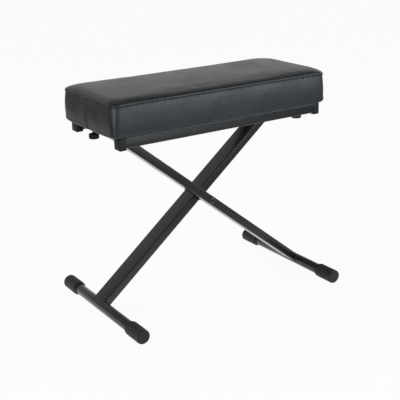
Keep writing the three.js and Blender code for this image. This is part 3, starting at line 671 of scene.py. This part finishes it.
nut = np.array([(5.3, nut_from + 0.6), (6.0, nut_from), (8.7, nut_from), (10.2, nut_from + 0.9),
                (10.2, nut_to - 2.6), (8.6, nut_to - 1.6), (7.2, nut_to - 1.4), (6.9, nut_to),
                (5.6, nut_to), (5.3, nut_to - 0.5)])
piece("pivot_lock_nut", turned(nut, at, "y", 96, hexagon), zinc, "rear_leg",
      ["pivot_nut"], loop=True, smooth_angle=25)


# Lock screws

def lobes(profile, angle):
    """Finger lobes: beyond the hub, the rim dips by a raised cosine of their count times the angle."""
    count, depth, hub, slope = 8, 1.1, 9.0, 3.0
    dip = 0.5 - 0.5 * np.cos(count * angle)
    return -depth * dip * np.clip((profile[:, :1] - hub) / slope, 0, 1)


def thread_ridge(profile, angle):
    """A screw thread: a triangle wave of the height less the turn, one pitch to a turn."""
    pitch, depth = 1.25, 0.55
    wave = np.abs(((profile[:, 1:] / pitch - angle / (2 * np.pi)) % 1.0) - 0.5) * 2
    return -depth * wave * (profile[:, :1] > 1)


for end, side, reach in (("right", -1, CROSS_REACH), ("left", 1, -CROSS_REACH)):
    at = (reach, side * BLOCK_OFFSET, CROSS_HEIGHT - KNOB_DROP)
    knob = eased([(0, -KNOB_HEIGHT), (KNOB_RADIUS, -KNOB_HEIGHT), (KNOB_RADIUS, -1.0), (9.5, 0),
                  (6.5, 0), (6.2, -0.2), (0, -0.2)], [0, 2.4, 2.0, 1.0, 0.2, 0.2, 0], 8)
    piece(f"{end}_lock_hand_knob", turned(knob, at, "z", 128, lobes), moulded_plastic, f"{end}_knob",
          [f"{end}_lock_knob"])
    top = KNOB_DROP - CROSS_RADIUS - GAP
    shank = np.c_[np.full(90, STUD_RADIUS), np.linspace(-1.0, top - 0.6, 90)]
    stud = np.concatenate([[(0, -1.0)], shank, [(STUD_RADIUS - 0.8, top), (0, top)]])
    # The screw's metal carries painted shade: plated steel drawn darker for the shade under the cross tube
    piece(f"{end}_lock_screw", turned(stud, at, "z", 32, thread_ridge), zinc_with_painted_shade, f"{end}_knob",
          [f"{end}_lock_stud"])


# Rails, their caps, and what is screwed under the seat

for side in ("front", "rear"):
    machined(f"{side}_rail", f"{side}_rail_tube", powder_coat, "seat", 0.5)
    machined(f"{side}_saddle", f"{side}_saddle_block", powder_coat, "seat", 0.8)
    machined(f"{side}_strip", f"{side}_slide_strip", zinc, "seat", 0.5)
    machined(f"{side}_slide_block", f"{side}_nylon_block", moulded_plastic, "left_carriage",
             0.8)
    for end in ("left", "right"):
        low, high = extent(f"{side}_rail_{end}_cap")
        inner = high if end == "left" else low
        inner[0] += (RAIL_SLEEVE - RAIL_PLUG) * (1 if end == "left" else -1)
        piece(f"{side}_rail_{end}_end", soft_box(low, high - [0, 0, 0.05], 2.2, 4), moulded_plastic, "seat",
              [f"{side}_rail_{end}_cap"])


def staple(x, y):
    """A flat wire staple across the hem, a little proud of it."""
    centre, half = np.array([x, y, BOARD_BOTTOM - 0.35]), np.array([0.6, 5.0, 0.3])
    return soft_box(centre - half, centre + half, 0.28, 1)


piece("hem_staples", [staple(end * (CUSHION_LENGTH / 2 - 14), y) for end in (-1, 1)
                      for y in np.linspace(-78, 78, 9)], zinc, "seat")


def screw_grid(node):
    """A countersunk screw, head down: a turned shape whose head is sunk in a cross.

    The cross is where the smaller of |x| and |y| is under half a slot's width and the larger is within its
    reach."""
    low, high = extent(node)
    centre, bite = (low + high) / 2, high[2] - low[2]
    head, shank, taper = 4.6, 2.2, 2.4
    flat = np.c_[np.linspace(0, head, 14), np.zeros(14)]
    profile = np.concatenate([flat, [(head, 0.15), (shank, taper), (shank, bite - taper), (0, bite)]])
    grid = turned(profile, (centre[0], centre[1], low[2]), "z", 40)
    x, y = np.abs(grid[..., 0] - centre[0]), np.abs(grid[..., 1] - centre[1])
    slot = np.clip((0.62 - np.minimum(x, y)) / 0.2, 0, 1) * np.clip((2.5 - np.maximum(x, y)) / 0.5, 0, 1)
    grid[..., 2] += 1.2 * slot * (grid[..., 2] < low[2] + 0.1)
    return grid


for node in sorted(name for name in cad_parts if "_screw_" in name):
    piece(f"{node}_recessed", screw_grid(node), zinc, "seat", [node], smooth_angle=35)


# Finishes of the solids that show as they are

for node, material in (("rear_leg_sleeve", zinc), ("front_leg_sleeve", zinc), ("seat_board", plywood)):
    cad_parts[node].data.materials.clear()
    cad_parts[node].data.materials.append(material)


# Floor, light and camera

def maths(tree, operation, *values):
    """A maths node of the tree, fed with sockets or plain numbers, and its result."""
    node = tree.nodes.new("ShaderNodeMath")
    node.operation = operation
    for socket, value in zip(node.inputs, values):
        if isinstance(value, (int, float)):
            socket.default_value = value
        else:
            tree.links.new(value, socket)
    return node.outputs[0]


def between(tree, value, start, end, low, high):
    """A smooth step from low to high as the value goes from start to end."""
    node = tree.nodes.new("ShaderNodeMapRange")
    node.interpolation_type = "SMOOTHSTEP"
    tree.links.new(value, node.inputs["Value"])
    for name, number in (("From Min", start), ("From Max", end), ("To Min", low), ("To Max", high)):
        node.inputs[name].default_value = number
    return node.outputs["Result"]


def show_white(tree, plain, white, mirrored, share):
    """A blend of the plain shader with a white one, by the given share where the eye, glass or gloss looks.

    White is full for the eye and through glass, and has the mirrored strength in gloss."""
    path, blend = tree.nodes.new("ShaderNodeLightPath"), tree.nodes.new("ShaderNodeMixShader")
    direct = maths(tree, "MAXIMUM", path.outputs["Is Camera Ray"], path.outputs["Is Transmission Ray"])
    gloss = path.outputs["Is Glossy Ray"]
    tree.links.new(maths(tree, "MAXIMUM", direct, maths(tree, "MULTIPLY", gloss, mirrored)),
                   white.inputs["Strength"])
    tree.links.new(maths(tree, "MULTIPLY", maths(tree, "MAXIMUM", direct, gloss), share),
                   blend.inputs["Fac"])
    tree.links.new(plain.outputs[0], blend.inputs[1])
    tree.links.new(white.outputs[0], blend.inputs[2])
    return blend.outputs["Shader"]


# The floor is a paper sweep: white to the eye, and in reflections of a strength that goes by its place in
# metres, less beyond the sweep's sides and where the camera stands, more far in front
FLOOR_REACH = 25.0
floor_material = bpy.data.materials.new("pale_floor")
floor_material.use_nodes = True
tree = floor_material.node_tree
tree.nodes.remove(tree.nodes["Principled BSDF"])
paint = tree.nodes.new("ShaderNodeBsdfDiffuse")
paint.inputs["Color"].default_value = (0.9, 0.9, 0.9, 1)
glow = tree.nodes.new("ShaderNodeEmission")
place = tree.nodes.new("ShaderNodeSeparateXYZ")
tree.links.new(tree.nodes.new("ShaderNodeTexCoord").outputs["Object"], place.inputs["Vector"])
right_side = between(tree, place.outputs["X"], 0.9, 1.6, 1.0, 0.15)
left_side = between(tree, place.outputs["X"], -1.1, -0.6, 0.0, 1.2)
ahead = maths(tree, "ADD", between(tree, place.outputs["Y"], -0.9, 0.1, 0.3, 1.0),
              between(tree, place.outputs["Y"], -2.8, -0.9, 1.9, 0.0))
before_camera = maths(tree, "MAXIMUM", between(tree, place.outputs["X"], 0.1, 0.5, 0.35, 1.0),
                      between(tree, place.outputs["Y"], -1.0, -0.6, 0.35, 1.0))
sweep = 1.0
for share in (right_side, left_side, ahead, before_camera):
    sweep = maths(tree, "MULTIPLY", sweep, share)
tree.links.new(show_white(tree, paint, glow, sweep, 0.93), tree.nodes["Material Output"].inputs["Surface"])
floor_mesh = bpy.data.meshes.new("floor")
corners = [(x * FLOOR_REACH, y * FLOOR_REACH, 0) for x, y in ((-1, -1), (1, -1), (1, 1), (-1, 1))]
floor_mesh.from_pydata(corners, [], [(0, 1, 2, 3)])
floor_mesh.materials.append(floor_material)
floor = bpy.data.objects.new("floor", floor_mesh)
bpy.context.scene.collection.objects.link(floor)
floor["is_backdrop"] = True

# The room is white to the eye. In reflections its strength goes by direction: a dim ceiling, a left wall that
# darkens above the horizon, and a paler patch high on the left
world = bpy.data.worlds.new("studio")
bpy.context.scene.world = world
world.use_nodes = True
tree = world.node_tree
dim = tree.nodes["Background"]
dim.inputs["Color"].default_value = (0.95, 0.975, 1.0, 1)
dim.inputs["Strength"].default_value = 0.45
white = tree.nodes.new("ShaderNodeBackground")
height = tree.nodes.new("ShaderNodeSeparateXYZ")
tree.links.new(tree.nodes.new("ShaderNodeTexCoord").outputs["Generated"], height.inputs["Vector"])
ceiling = between(tree, height.outputs["Z"], 0.34, 0.8, 0.8, 0.08)
left_wall = maths(tree, "MAXIMUM", between(tree, height.outputs["X"], -0.4, 0.12, 0.3, 1.0),
                  between(tree, height.outputs["Z"], 0.15, 0.36, 1.2, 0.0))
patch = between(tree, height.outputs["X"], -0.44, -0.36, 0.0, 0.6)
for share in (between(tree, height.outputs["X"], -0.12, 0.02, 1.0, 0.0),
              between(tree, height.outputs["Z"], 0.66, 0.8, 1.0, 0.0)):
    patch = maths(tree, "MULTIPLY", patch, share)
room = maths(tree, "MULTIPLY", ceiling, left_wall)
for least in (between(tree, height.outputs["X"], -0.35, -0.2, 0.17, 0.0), patch):
    room = maths(tree, "MAXIMUM", room, least)
white.inputs["Color"].default_value = (1.0, 1.0, 0.97, 1)
tree.links.new(show_white(tree, dim, white, room, 1.0), tree.nodes["World Output"].inputs["Surface"])


def softbox(name, place, target, size, watts, colour, mirrored):
    """A lamp of the given width and height that faces its target; mirrored says if gloss shows it."""
    lamp = bpy.data.lights.new(name, "AREA")
    lamp.shape, lamp.size, lamp.size_y = "RECTANGLE", size[0], size[1]
    lamp.energy, lamp.color = watts, colour
    thing = bpy.data.objects.new(name, lamp)
    towards = np.array(target, float) - np.array(place, float)
    back = -towards / np.linalg.norm(towards)
    right = np.cross((0, 0, 1), back)
    right = right / np.linalg.norm(right)
    up = np.cross(back, right)
    thing.matrix_world = Matrix([list(row) + [p] for row, p in zip(np.array([right, up, back]).T, place)]
                                + [[0, 0, 0, 1]])
    thing.visible_camera, thing.visible_glossy = False, mirrored
    bpy.context.scene.collection.objects.link(thing)


softbox("top_softbox", (-0.4, 0.5, 2.4), (0, 0, 0.5), (1.6, 1.6), 13, (1.0, 0.96, 0.88), False)
softbox("camera_softbox", (-0.9, -2.4, 1.7), (0, 0, 0.4), (1.4, 1.4), 8, (0.85, 0.94, 1.0), False)
softbox("front_softbox", (1.3, -2.2, 0.8), (0, 0, 0.5), (1.4, 0.7), 16, (0.7, 0.88, 1.0), True)
softbox("corner_softbox", (-2.1, -1.25, 0.5), (0, 0, 0.45), (0.7, 0.9), 13, (0.88, 0.95, 1.0), True)

bpy.context.scene.view_settings.view_transform = "Standard"

AZIMUTH, ELEVATION, ROLL = np.radians([33.5124, 19.2335, 1.1668])
CAMERA_PLACE, FOCAL_PIXELS, IMAGE_WIDTH, SENSOR = (-1.1885, -1.7935, 0.9965), 860.88, 400, 36.0
forward = np.array([np.sin(AZIMUTH) * np.cos(ELEVATION), np.cos(AZIMUTH) * np.cos(ELEVATION),
                    -np.sin(ELEVATION)])
level = np.array([np.cos(AZIMUTH), -np.sin(AZIMUTH), 0.0])
right = np.cos(ROLL) * level + np.sin(ROLL) * np.cross(forward, level)
axes = np.array([right, -np.cross(forward, right), -forward]).T
camera_data = bpy.data.cameras.new("camera")
camera_data.sensor_width = SENSOR
camera_data.lens = FOCAL_PIXELS / IMAGE_WIDTH * SENSOR
camera_data.clip_end = 100.0
camera = bpy.data.objects.new("camera", camera_data)
camera.matrix_world = Matrix([list(row) + [p] for row, p in zip(axes, CAMERA_PLACE)] + [[0, 0, 0, 1]])
bpy.context.scene.collection.objects.link(camera)
bpy.context.scene.camera = camera

low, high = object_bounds()
